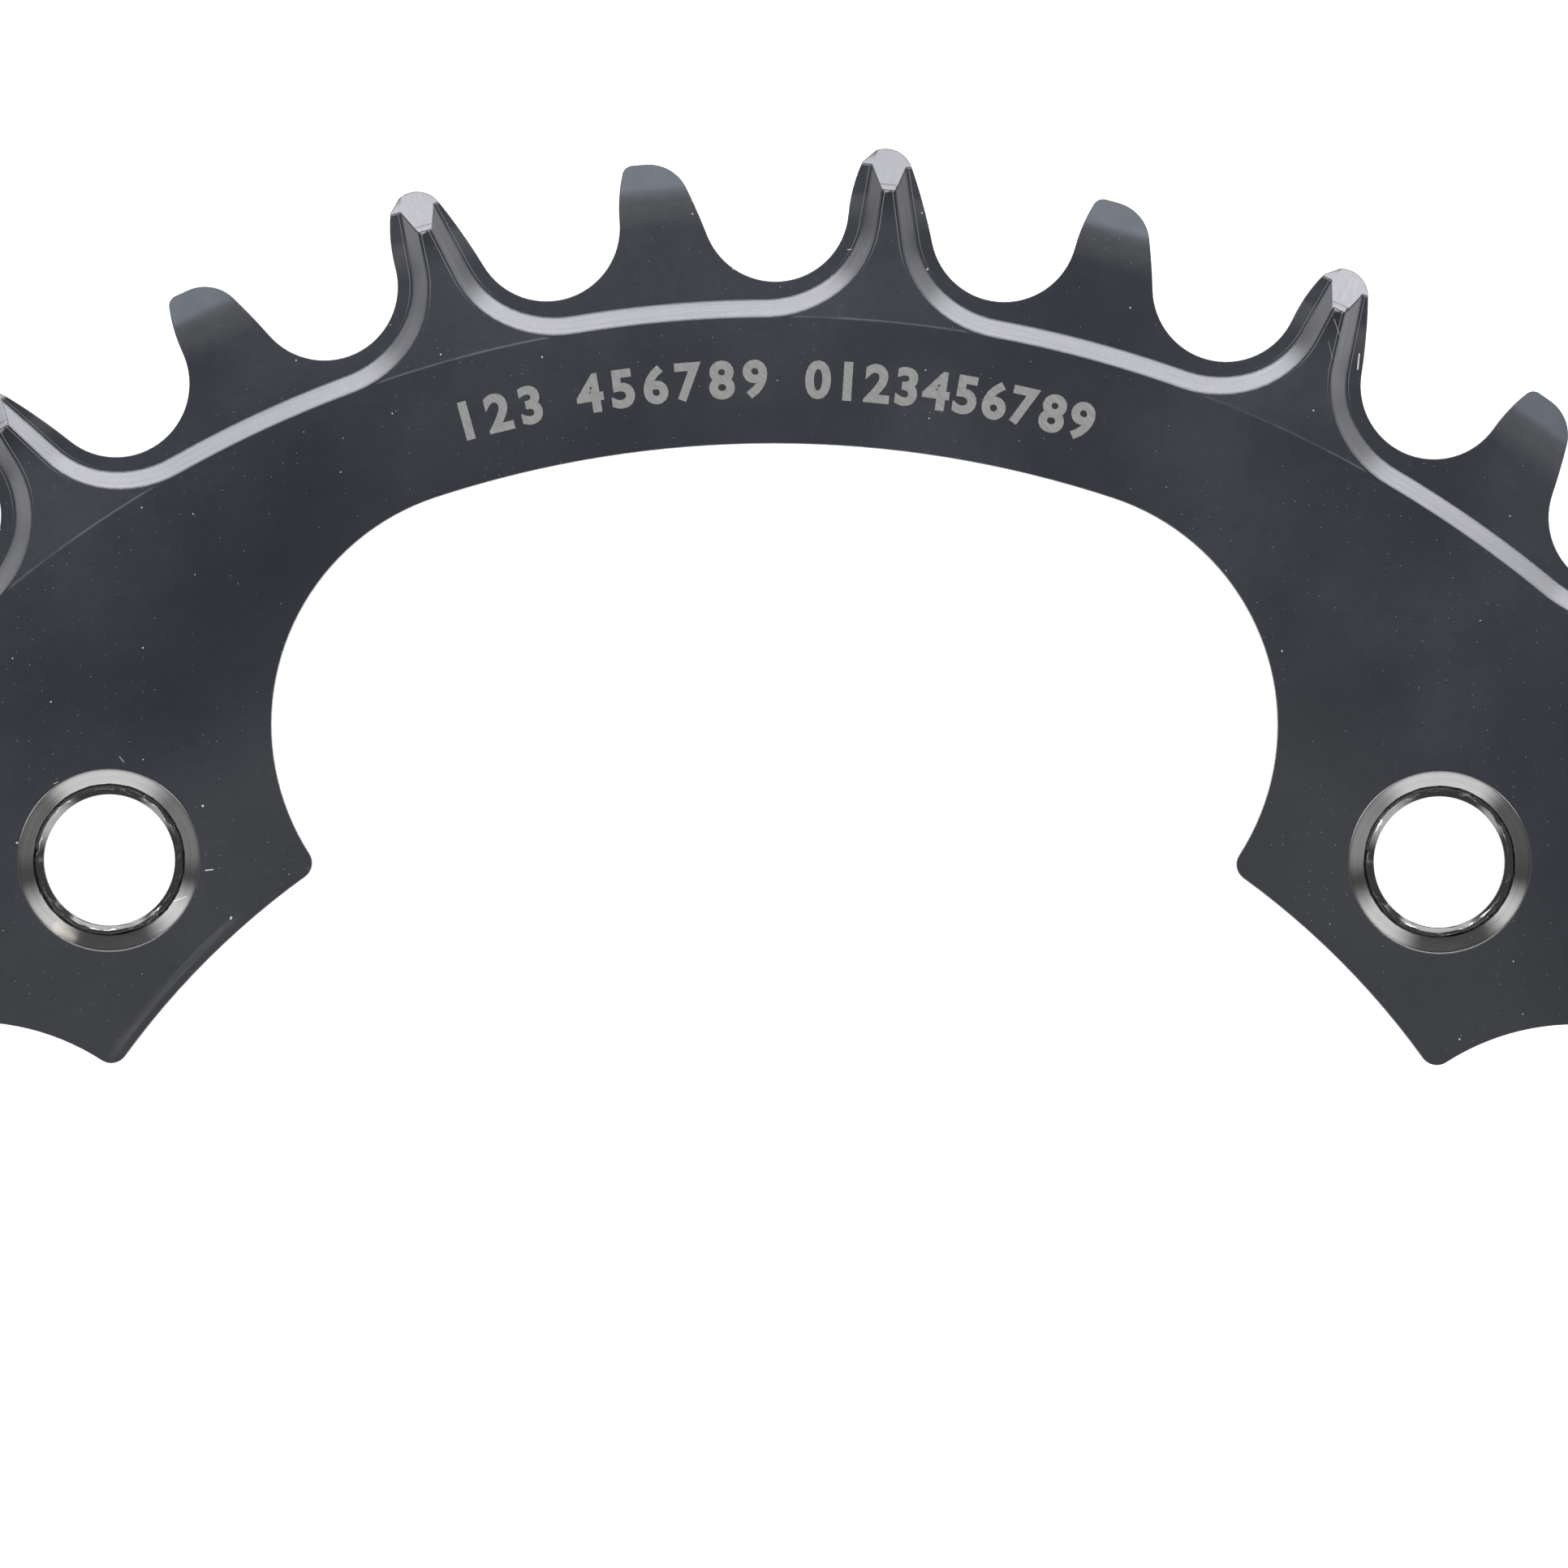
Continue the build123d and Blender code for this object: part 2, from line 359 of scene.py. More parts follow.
opening_quarter = [
    arc((0, 0), register_radius, 45, register_turn - 45),
    arc(right_round, tab_corner, 180 + register_turn, -corner_sweep),
    arc(right_bay, scallop_radius, round_turn, scallop_sweep),
    arc((0, 0), web_radius, 90 - bay_angle, 2 * bay_angle),
    arc(left_bay, scallop_radius, 90 + bay_angle, scallop_sweep),
    arc((-right_round[0], right_round[1]), tab_corner, -round_turn, -corner_sweep),
    arc((0, 0), register_radius, 180 - register_turn, register_turn - 45),
]
print("quarter of the opening:", len(walk(opening_quarter)[0]), "points")

# %% [markdown]
# ## How high each place is
#
# The ring has no undercut outside its bolt holes, so each face is a height above the
# middle of the plate. Each cut, the turned cones, the pockets and the chamfers, is a
# height of its own, and the metal that is left is the lowest of them. Real creases are
# never knife sharp. Where two heights are nearly the same, a small square term rounds
# the crease off, and then the slopes give smooth normals too.

# %% Height of the turned faces and the pockets
crease, faint_crease, tip_crease, broken_edge, skin = 0.04, 0.002, 0.10, 0.05, 0.002
shallow_slope = cone_drop / (cone_radius - flat_radius)


def lower(a, b, width):
    """The lower of two heights, with the crease between them rounded."""
    return np.minimum(a, b) - np.maximum(width - np.abs(a - b), 0) ** 2 / (4 * width)


def turned_face(radius):
    """Height of the flat rim, of the shallow cone outside it and of the steep one."""
    shallow = middle - shallow_slope * (radius - flat_radius)
    steep = middle - cone_drop - cone_slope * (radius - cone_radius)
    return lower(lower(middle, shallow, faint_crease), steep, crease)


def pocket_face(u, v):
    """Height in a pocket, distance out from its floor's edge, and place along it."""
    reach, along = distance(pocket_edge, u, v)
    tip = lower(half_narrow, half_narrow - bevel_slope * (v - bevel_start), tip_crease)
    floor = np.where(np.abs(u) < seat_radius, tip, half_narrow)
    return -lower(-floor, -half_narrow - reach, crease), reach, along


print("the steep cone starts at a height of", turned_face(cone_radius).round(3), "mm")

# %% Height of the whole ring
def in_frame(radius, turn, centre):
    """Place seen from a tooth, or a tab, that stands at an angle clockwise from the top."""
    away = np.radians(turn - centre)
    return radius * np.sin(away), radius * np.cos(away)


def in_pair(x, y):
    """Distance from the axis, and turn within the pair of teeth that a place lies in."""
    turn = np.degrees(np.arctan2(x, y))
    return np.hypot(x, y), np.mod(turn + 2 * half_tooth, 4 * half_tooth) - 2 * half_tooth


def ring_height(x, y):
    """Half the ring's thickness, the pocket's height over the turned face, and its place."""
    radius, turn = in_pair(x, y)
    turned = turned_face(radius)
    own, own_reach, own_along = pocket_face(*in_frame(radius, turn, -half_tooth))
    other, other_reach, other_along = pocket_face(*in_frame(radius, turn, 3 * half_tooth))
    height = lower(lower(turned, own, crease), other, crease)
    first = own < other
    reach = np.where(first, own_reach, other_reach)
    along = np.where(first, own_along, other_along)
    return height, np.minimum(own, other) - turned, reach, along


on_wide_tooth = ring_height(np.array([6.2]), np.array([71.0]))[0]
print("half thickness on a wide tooth, mm:", on_wide_tooth.round(3))

# %% Outlines, chamfers and broken edges
def inside_metal(x, y):
    """How far inside the teeth's outline and outside the opening each place is."""
    radius, turn = in_pair(x, y)
    narrow = distance(narrow_tooth, *in_frame(radius, turn, -half_tooth))[0]
    wide = distance(wide_tooth, *in_frame(radius, turn, half_tooth))[0]
    quarter = np.mod(np.degrees(np.arctan2(x, y)) + 45, 90) - 45
    opening = distance(opening_quarter, *in_frame(radius, quarter, 0))[0]
    return np.minimum(-np.where(turn < 0, narrow, wide), -opening)


def from_bolt(x, y):
    """Distance to the axis of the nearest bolt hole."""
    half = bolt_ring * sqrt(0.5)
    return np.hypot(np.abs(x) - half, np.abs(y) - half)


def cone_rise(chamfer):
    """How steep the chamfers of a face are."""
    return chamfer_slope if chamfer == front_chamfer else 1.0


def face_height(x, y, chamfer):
    """Height of one whole face above the middle, with its chamfers and broken edges."""
    cone = middle + cone_rise(chamfer) * (from_bolt(x, y) - bolt_radius - chamfer)
    height = lower(ring_height(x, y)[0], cone, crease)
    short = np.clip(broken_edge + skin - inside_metal(x, y), 0, broken_edge)
    return height - broken_edge + np.sqrt(broken_edge**2 - short**2)


on_bolt = bolt_ring * sqrt(0.5)
in_chamfer = face_height(np.array([on_bolt]), np.array([on_bolt + 4.4]), front_chamfer)
print("height in a bolt hole's chamfer, mm:", in_chamfer.round(3))

# %% [markdown]
# ## Plain numbers
#
# The real ring has a line of matt grey marking on its rim, burnt into the black layer
# by a laser. It isn't copied. Plain numbers in the same place keep the look of such a
# marking. Blender's own font gives their outlines, made bolder with an offset. Each
# number stands on the arc by itself, as a marking machine places it.

# %% Outlines of the marked numbers
# marks, turn of the first one and turn from one to the next, in degrees
number_groups = (("123", -15.6, 1.65), ("456789", -9.3, 1.66), ("0123456789", 2.15, 1.483))
number_radius, number_height, boldness = 62.33, 2.16, 0.038


def number_outline(mark):
    """Edges round one number, as pairs of points, one unit high and centred."""
    text = bpy.data.curves.new("number", "FONT")
    text.body, text.offset, text.resolution_u = mark, boldness, 4
    text.fill_mode = "FRONT"
    holder = bpy.data.objects.new("number", text)
    bpy.context.scene.collection.objects.link(holder)
    mesh = bpy.data.meshes.new_from_object(holder)
    used = {}
    for face in mesh.polygons:
        for key in face.edge_keys:
            used[key] = used.get(key, 0) + 1
    rim = [key for key, count in used.items() if count == 1]
    spots = np.array([[v.co.x, v.co.y] for v in mesh.vertices])
    pairs = spots[np.array(rim)]
    bpy.data.objects.remove(holder)
    low, high = pairs.reshape(-1, 2).min(0), pairs.reshape(-1, 2).max(0)
    return (pairs - [(low[0] + high[0]) / 2, low[1]]) / (high[1] - low[1])


outlines = {mark: number_outline(mark) for mark in "0123456789"}
number_edges = []
for marks, start, step in number_groups:
    for place, mark in enumerate(marks):
        stood = outlines[mark] * number_height + [0, number_radius]
        number_edges.append(clockwise(stood, start + step * place))
print("marked numbers:", len(number_edges), "with", sum(len(e) for e in number_edges), "edges")

# %% Which places a number covers
def in_numbers(x, y):
    """True for places inside a marked number, by counting the edges they look across."""
    found = np.zeros(len(x), bool)
    for pairs in number_edges:
        low, high = pairs.reshape(-1, 2).min(0), pairs.reshape(-1, 2).max(0)
        near = np.flatnonzero((x > low[0]) & (x < high[0]) & (y > low[1]) & (y < high[1]))
        ax, ay, bx, by = pairs[:, 0, 0], pairs[:, 0, 1], pairs[:, 1, 0], pairs[:, 1, 1]
        px, py = x[near, None], y[near, None]
        spans = (ay > py) != (by > py)
        rise = np.where(by == ay, 1, by - ay)
        crossed = spans & (px < ax + (py - ay) * (bx - ax) / rise)
        found[near] = crossed.sum(1) % 2 == 1
    return found


print("is the axis in a number:", in_numbers(np.zeros(1), np.zeros(1))[0])

# %% [markdown]
# ## A net of triangles for each face
#
# A face is first drawn flat. Its lines are the outline, the opening, the holes, and a
# few lines side by side along every crease, so that the rounded creases get narrow
# strips of their own and the flat parts stay flat. A constrained Delaunay net joins
# them all, and is then lifted to its height.

# %% Lines of a face
hole_columns, past_tips, slope_change = 72, 76.0, cone_slope - 0.0263
tip_foot = cone_radius + (middle - cone_drop - half_narrow) / cone_slope


def rim_loops(offset):
    """The teeth's outline and the opening's, moved into the metal, as closed loops."""
    teeth, quarters = [], []
    for pair in range(pair_count):
        for curve, turn in ((narrow_tooth, -half_tooth), (wide_tooth, half_tooth)):
            spots, lefts = walk(curve)
            teeth.append(clockwise((spots - offset * lefts)[:-1], turn + 4 * half_tooth * pair))
    for quarter in range(4):
        spots, lefts = walk(opening_quarter)
        quarters.append(clockwise((spots - offset * lefts)[:-1], -90.0 * quarter))
    return [np.concatenate(teeth), np.concatenate(quarters)]


def edge_places():
    """Points along a pocket's edge, closer together where its bevel runs out at a tip."""
    spots, lefts = walk(pocket_edge, longest=0.05)
    kept = np.arange(len(spots)) % 12 == 0
    kept |= np.abs(np.hypot(*spots.T) - tip_foot) < 0.35
    return spots[kept], lefts[kept]


def bevel_line(difference):
    """Where a pocket's wall is a given height over the turned face, by halving steps."""
    spots, lefts = edge_places()
    low, high = np.full(len(spots), -0.5), np.full(len(spots), 1.7)

    def over(step):
        place = spots + step[:, None] * lefts
        return pocket_face(*place.T)[0] - turned_face(np.hypot(*place.T)) - difference

    real = (over(low) < 0) & (over(high) > 0)
    for halving in range(40):
        half = (low + high) / 2
        above = over(half) > 0
        low, high = np.where(above, low, half), np.where(above, half, high)
    return (spots + low[:, None] * lefts)[real]


def runs(points, keep):
    """The stretches of a line whose points are kept."""
    cuts = np.flatnonzero(np.diff(keep.astype(int))) + 1
    stretches = zip(np.split(points, cuts), np.split(keep, cuts))
    return [part for part, kept in stretches if kept[0] and len(part) > 1]


def pocket_lines():
    """Lines beside the creases of one pair of teeth, seen from the narrow one."""
    lines = []
    spots, lefts = edge_places()
    for step in (-0.2, -0.13, -crease, 0, crease):
        moved = spots + step * lefts
        lines += runs(moved, np.hypot(*moved.T) < past_tips)
    for difference in (-crease, 0, crease, 0.13, 0.2):
        lines.append(bevel_line(difference))
    for step in (-1, 0, 1):
        height = bevel_start + step * tip_crease / bevel_slope
        lines.append(np.array([[-3.0, height], [3.0, height]]))
    turns = np.radians(np.arange(0, 20.01, 0.4))
    clock = np.stack([np.sin(turns), np.cos(turns)], 1)
    on_ridge = np.abs(turns - radians(10)) < radians(2.2)
    for step in (-1, 0, 1):
        beside = step * faint_crease * (cone_radius - flat_radius) / cone_drop
        foot = clock * (flat_radius + beside)
        lines += runs(foot, ring_height(*clockwise(foot, -half_tooth).T)[1] > 0.15)
        shoulder = clock * (cone_radius + step * crease / slope_change)
        lines += runs(shoulder, on_ridge)
        drop = middle - cone_drop - half_narrow + step * crease
        lines += runs(clock * (cone_radius + drop / cone_slope), on_ridge)
    return lines


pair_lines = pocket_lines()
print("lines beside the creases of a pair of teeth:", len(pair_lines))

# %% Net of a face
def circle(centre, radius, count):
    turns = np.radians(360 * np.arange(count) / count)
    return np.array(centre) + radius * np.stack([np.cos(turns), np.sin(turns)], 1)


def face_net(chamfer, rim, marked):
    """Places and triangles of one face, seen from above."""
    places, edges = [], []

    def add(points, closed):
        first = sum(len(p) for p in places)
        count = len(points)
        places.append(points)
        edges.extend((first + i, first + i + 1) for i in range(count - 1))
        if closed:
            edges.append((first + count - 1, first))

    for offset in (skin, skin + 0.3 * broken_edge, skin + broken_edge):
        for loop in rim_loops(offset):
            add(loop, True)
    for pair in range(pair_count):
        for points in pair_lines:
            add(clockwise(points, -half_tooth + 4 * half_tooth * pair), False)
    for corner in range(4):
        centre = polar((0, 0), bolt_ring, 45 + 90 * corner)
        for step in (-1, 0, 1):
            beside = step * crease / cone_rise(chamfer)
            add(circle(centre, bolt_radius + chamfer + beside, hole_columns), True)
        add(circle(centre, rim, hole_columns), True)
    if marked:
        for pairs in number_edges:
            for pair in pairs:
                add(pair, False)
    flat = [Vector((float(a), float(b))) for a, b in np.concatenate(places)]
    net = delaunay_2d_cdt(flat, edges, [], 0, 1e-5, False)
    spots = np.array([[p.x, p.y] for p in net[0]])
    triangles = np.array(net[2])
    x, y = spots[triangles].mean(1).T
    kept = (inside_metal(x, y) > skin) & (from_bolt(x, y) > rim)
    return spots, triangles[kept]


print("points round a hole:", len(circle((0, 0), bolt_radius, hole_columns)))

# %% [markdown]
# ## Threads in the bolt holes
#
# Each hole is tapped for an M8 bolt with a fine thread. The wall is drawn as a sheet
# of strips that climb with the thread, so that its flanks stay crisp. At every place
# the wall lies where the widest of three cutters reached: the tap, the large front
# chamfer or the small one behind.

# %% Wall of a bolt hole
front_rim, back_rim, strips_per_turn = 4.8, 4.06, 22


def map_places(across, up):
    """Map places of a wall, which lies far from every crease of the faces."""
    far = np.full(np.shape(across), 9.0)
    return np.stack([across, up, far, far], -1)


def hole_wall(turn, height):
    """Radius of a hole's wall, by turn in degrees and height in millimetres."""
    phase = np.abs(np.mod(height / thread_pitch - turn / 360, 1) - 0.5)
    thread = bolt_radius + thread_depth * np.clip((0.375 - phase) / 0.3125, 0, 1)
    ripple = 0.045 * np.sin(np.radians(3 * turn)) + 0.03 * np.sin(np.radians(13 * turn + 40))
    relief = np.interp(height - ripple, relief_heights, relief_radii)
    front = bolt_radius + front_chamfer + (height - 2 * middle) / chamfer_slope
    back = bolt_radius + back_chamfer - height
    return -lower(lower(-np.maximum(thread, relief), -front, 0.015), -back, 0.015)


print("wall's radius halfway down, mm:", hole_wall(0.0, middle).round(3))

# %% Sheet of a bolt hole
def hole_sheet(corner):
    """Places, outward directions, corners and map places of one hole's wall."""
    low = bolt_radius + back_chamfer - back_rim
    high = 2 * middle + chamfer_slope * (front_rim - bolt_radius - front_chamfer)
    rows = np.arange(-strips_per_turn, ceil(high / thread_pitch) * strips_per_turn + 1)
    turns = 360 * np.arange(hole_columns + 1) / hole_columns
    turn, row = np.meshgrid(turns, rows)
    height = np.clip(thread_pitch * (row / strips_per_turn + turn / 360), low, high)
    radius = hole_wall(turn, height)
    climb = (hole_wall(turn, height + 1e-4) - hole_wall(turn, height - 1e-4)) / 2e-4
    widen = np.degrees(hole_wall(turn + 1e-3, height) - hole_wall(turn - 1e-3, height)) / 2e-3
    way, side = np.radians(turn), widen / radius
    centre = polar((0, 0), bolt_ring, 45 + 90 * corner)
    spots = [centre[0] + radius * np.cos(way), centre[1] + radius * np.sin(way), height]
    normals = [-np.cos(way) - side * np.sin(way), -np.sin(way) + side * np.cos(way), climb]
    width = hole_columns + 1
    first = (np.arange(len(rows) - 1)[:, None] * width + np.arange(hole_columns)).ravel()
    quads = np.stack([first, first + width, first + width + 1, first + 1], 1)
    spots, normals = (np.stack(a, -1).reshape(-1, 3) for a in (spots, normals))
    return spots, normals, quads, map_places(turn / 360 * 25, height).reshape(-1, 4)


print("a hole's wall:", len(hole_sheet(0)[2]), "quads")

# %% [markdown]
# ## The ring as one mesh
#
# The two faces, the wall round the teeth and the opening, and the four threaded walls
# are joined where their places meet. Every place keeps the direction that its height
# gives, as a custom normal, so a flat stays flat right up to its rounded edge.

# %% Sheets of the two faces
face_finish, bevel_finish, edge_finish, bore_finish, number_finish = range(5)


def downhill(height, x, y, *more):
    """How steeply a height falls to the right, and upwards, at each place."""
    step = 1e-4
    slope_x = (height(x + step, y, *more) - height(x - step, y, *more)) / (2 * step)
    slope_y = (height(x, y + step, *more) - height(x, y - step, *more)) / (2 * step)
    return -slope_x, -slope_y


def face_finishes(x, y, chamfer):
    """Which finish the triangle round each place has, before the numbers."""
    over, reach = ring_height(x, y)[1:3]
    radius, turn = in_pair(x, y)
    outside = radius > cone_radius
    milled = (over < 0) & (reach > 0) | outside & (over > -crease)
    cone = outside & (turn > 0) & (turned_face(radius) < half_narrow + np.maximum(reach, 0))
    finish = np.where(milled | cone, bevel_finish, face_finish)
    finish[from_bolt(x, y) < bolt_radius + chamfer] = bore_finish
    return finish


def face_sheet(chamfer, rim, front):
    """Places, directions, corners, map places and finishes of one face."""
    spots, triangles = face_net(chamfer, rim, front)
    used, triangles = np.unique(triangles, return_inverse=True)
    x, y = spots[used].T
    triangles = triangles.reshape(-1, 3)
    height, inside = face_height(x, y, chamfer), inside_metal(x, y)
    normals = np.stack([*downhill(face_height, x, y, chamfer), np.ones(len(x))], 1)
    rim_place = inside < 3 * skin
    outward = np.stack([*downhill(inside_metal, x, y), np.zeros(len(x))], 1)
    normals[rim_place] = outward[rim_place]
    over, reach, along = ring_height(x, y)[1:]
    finish = face_finishes(*spots[used][triangles].mean(1).T, chamfer)
    if front:
        finish[in_numbers(*spots[used][triangles].mean(1).T)] = number_finish
        spots = np.stack([x, y, middle + height], 1)
    else:
        spots = np.stack([x, y, middle - height], 1)
        normals[:, 2] *= -1
        triangles = triangles[:, ::-1]
    placed = np.stack([along, reach, over, inside], 1)
    return spots, normals, triangles, placed, finish, rim_place


front = face_sheet(front_chamfer, front_rim, True)
back = face_sheet(back_chamfer, back_rim, False)
print("faces:", len(front[2]), "and", len(back[2]), "triangles")

# %% The wall round the teeth and the opening
def outer_wall(front, back):
    """The front face's rim edges, and the place on the back face under each end."""
    spots, triangles, rim = front[0], front[2], front[5]
    sides = np.concatenate([triangles[:, [0, 1]], triangles[:, [1, 2]], triangles[:, [2, 0]]])
    sides = sides[rim[sides].all(1)]
    forward = set(map(tuple, sides))
    alone = np.array([s for s in forward if (s[1], s[0]) not in forward])
    under = np.flatnonzero(back[5])
    matched = {}
    for end in np.unique(alone):
        gaps = np.abs(back[0][under, :2] - spots[end, :2]).sum(1)
        matched[end] = under[gaps.argmin()]
        assert gaps.min() < 1e-3, "the two faces have different rims"
    return alone, matched


alone, matched = outer_wall(front, back)
print("rim:", len(alone), "edges")

# %% All the sheets in one list
places, normals, corners, mapped, finishes = [], [], [], [], []


def add_sheet(spots, ways, faces, placed, finish):
    """Add a sheet's places, directions, faces, map places and finishes to the lists."""
    first = sum(len(p) for p in places)
    places.append(spots)
    normals.append(ways)
    corners.extend(tuple(face) for face in (faces + first).tolist())
    mapped.append(placed[faces].reshape(-1, 4))
    finishes.append(finish)


add_sheet(*front[:5])
add_sheet(*back[:5])
below = len(front[0])
wall = [(a, below + matched[a], below + matched[b], b) for a, b in alone]
wall_places = np.concatenate(places)[np.array(wall)]
turned = np.arctan2(wall_places[..., 0], wall_places[..., 1]) * pitch_radius
corners += wall
mapped.append(map_places(turned, wall_places[..., 2]).reshape(-1, 4))
finishes.append(np.full(len(wall), edge_finish))
for corner in range(4):
    hole = hole_sheet(corner)
    add_sheet(*hole, np.full(len(hole[2]), bore_finish))
print("sheets:", len(places), "with", len(corners), "faces and quads")

# %% The mesh, its directions and its maps
mesh = bpy.data.meshes.new("ring")
mesh.from_pydata((np.concatenate(places) * 0.001).tolist(), [], corners)
way = mesh.attributes.new("way", "FLOAT_VECTOR", "POINT")
ways = np.concatenate(normals)
ways = ways / np.linalg.norm(ways, axis=1)[:, None]
way.data.foreach_set("vector", ways.astype(np.float32).ravel())
mesh.polygons.foreach_set("material_index", np.concatenate(finishes).astype(np.int32))
mapped = np.concatenate(mapped).astype(np.float32)
for first, name in ((0, "cutter_path"), (2, "crease_distance")):
    mesh.uv_layers.new(name=name).data.foreach_set("uv", mapped[:, first:first + 2].ravel())
print("maps:", [layer.name for layer in mesh.uv_layers])

# %% Close the seams
shaper = bmesh.new()
shaper.from_mesh(mesh)
bmesh.ops.remove_doubles(shaper, verts=shaper.verts, dist=2e-7)
bmesh.ops.dissolve_degenerate(shaper, dist=1e-8, edges=shaper.edges)
bmesh.ops.triangulate(shaper, faces=[f for f in shaper.faces if len(f.verts) > 3])
open_edges = sum(1 for e in shaper.edges if not e.is_manifold)
shaper.to_mesh(mesh)
shaper.free()
ways = np.zeros(len(mesh.vertices) * 3, np.float32)
mesh.attributes["way"].data.foreach_get("vector", ways)
mesh.attributes.remove(mesh.attributes["way"])
mesh.shade_smooth()
mesh.normals_split_custom_set_from_vertices(ways.reshape(-1, 3).tolist())
ring = bpy.data.objects.new("ring", mesh)
bpy.context.scene.collection.objects.link(ring)
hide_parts("chainring")
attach(ring, "root")
print("ring:", len(mesh.vertices), "places,", len(mesh.polygons), "triangles")
print("open edges:", open_edges)

# %% [markdown]
# ## Nodes in a few words
#
# A material is a small program of nodes. These helpers add one node each, fill or link
# its inputs, and hand back its output, so that a finish can be written like a sum.

# %% Helpers for nodes
def node(tree, kind, values, settings=None, result=0):
    """Add a node, set it, fill or link its inputs, and give one of its outputs."""
    made = tree.nodes.new("ShaderNode" + kind)
    for name, value in (settings or {}).items():
        setattr(made, name, value)
    for name, value in values.items():
        if isinstance(value, bpy.types.NodeSocket):
            tree.links.new(value, made.inputs[name])
        else:
            made.inputs[name].default_value = value
    return made.outputs[result]


def tree_of(values):
    """The tree of nodes that the first socket among some values belongs to."""
    return next(v.id_data for v in values if isinstance(v, bpy.types.NodeSocket))


def link(value, socket):
    value.id_data.links.new(value, socket)


def calc(operation, *values):
    return node(tree_of(values), "Math", dict(enumerate(values)), {"operation": operation})


def times(first, second):
    return calc("MULTIPLY", first, second)


def plus(first, second):
    return calc("ADD", first, second)


def minus(first, second):
    return calc("SUBTRACT", first, second)


def larger(first, second):
    return calc("MAXIMUM", first, second)


def vector_calc(operation, *values, result=0):
    settings = {"operation": operation}
    return node(tree_of(values), "VectorMath", dict(enumerate(values)), settings, result)


def split(vector):
    """A vector's X, Y and Z."""
    return node(vector.id_data, "SeparateXYZ", {0: vector}).node.outputs


def join(x, y):
    """A flat vector from its X and Y."""
    return node(tree_of((x, y)), "CombineXYZ", {"X": x, "Y": y, "Z": 0.0})


def flattened(vector):
    """A vector without its Z, and its length."""
    flat = vector_calc("MULTIPLY", vector, (1, 1, 0))
    return flat, vector_calc("LENGTH", flat, result=1)

# %% Helpers for ramps, blends and groups of nodes
def ramp(value, low, high, start, end):
    """A value that goes softly from start to end while another goes from low to high."""
    limits = {"Value": value, "From Min": low, "From Max": high, "To Min": start, "To Max": end}
    return node(tree_of((value,)), "MapRange", limits, {"interpolation_type": "SMOOTHSTEP"})


def between(share, start, end):
    """A value that goes evenly from start to end while a share goes from 0 to 1."""
    return node(share.id_data, "MapRange", {"Value": share, "To Min": start, "To Max": end})


def blend(share, first, second):
    """A colour between two others."""
    return node(share.id_data, "Mix", {0: share, 6: first, 7: second}, {"data_type": "RGBA"}, 2)


def tint(colour, mask, strength, towards):
    """A colour that goes part of the way to another where a mask lies."""
    return blend(times(mask, strength), colour, towards)


def start_group(name, results, **inputs):
    """A new node group with its sockets, and the sockets to link inside it."""
    tree = bpy.data.node_groups.new(name, "ShaderNodeTree")
    for title, value in inputs.items():
        kind = "Float" if isinstance(value, float) else {3: "Vector", 4: "Color"}[len(value)]
        socket = tree.interface.new_socket(title, in_out="INPUT", socket_type="NodeSocket" + kind)
        socket.default_value = value
    for title in results:
        kind = "NodeSocketColor" if title == "Colour" else "NodeSocketFloat"
        tree.interface.new_socket(title, in_out="OUTPUT", socket_type=kind)
    given, wanted = tree.nodes.new("NodeGroupInput"), tree.nodes.new("NodeGroupOutput")
    return tree, given.outputs, wanted.inputs


def use(group, **values):
    """Place a shared group with its own values, and give its first output."""
    settings = {"node_tree": bpy.data.node_groups[group]}
    return node(tree_of(values.values()), "Group", values, settings)

# %% [markdown]
# ## Effects that several finishes share
#
# The dyed layer is never quite even, so a cloudy value changes its colour and gloss.
# Cutters leave fine streaks along their path. Both are noise: the first as it comes,
# the second stretched a hundred times longer than wide.

# %% Node groups for clouds in the layer and for streaks
tree, given, wanted = start_group("layer_clouds", ["Value"], Place=(0, 0, 0), Size=8.0)
scale = calc("DIVIDE", 1.0, given["Size"])
looks = {"Vector": given["Place"], "Scale": scale, "Detail": 4.0, "Roughness": 0.55}
link(ramp(node(tree, "TexNoise", looks), 0.3, 0.7, 0.0, 1.0), wanted["Value"])

tree, given, wanted = start_group(
    "cutter_streaks", ["Value"], Path=(0, 0, 0), Length=4.0, Width=0.05
)
path = split(given["Path"])
ahead = calc("DIVIDE", path["X"], given["Length"])
stretched = join(ahead, calc("DIVIDE", path["Y"], given["Width"]))
looks = {"Vector": stretched, "Scale": 1.0, "Detail": 2.0, "Roughness": 0.6}
link(ramp(node(tree, "TexNoise", looks), 0.28, 0.72, 0.0, 1.0), wanted["Value"])
print("groups:", len(bpy.data.node_groups))

# %% [markdown]
# The photographed ring isn't clean. Bright specks of dust lie on it, a little closer
# together here and there, with a few pieces of lint and some scratches. For the specks
# the surface is divided into cells, each with one point, and only some cells show it.

# %% Node groups for specks and for single marks
tree, given, wanted = start_group(
    "dust_specks", ["Mask"], Place=(0, 0, 0), Cell=2.0, Share=0.2, Size=0.04
)
scale = calc("DIVIDE", 1.0, given["Cell"])
cells = {"Vector": given["Place"], "Scale": scale}
cells = node(tree, "TexVoronoi", cells, {"voronoi_dimensions": "2D"}).node.outputs
chance = node(tree, "SeparateColor", {0: cells["Color"]}).node.outputs
chosen = calc("LESS_THAN", chance["Red"], given["Share"])
size = times(given["Size"], plus(chance["Green"], 0.4))
away = calc("DIVIDE", times(cells["Distance"], given["Cell"]), size)
link(times(ramp(away, 0.6, 1.1, 1.0, 0.0), chosen), wanted["Mask"])

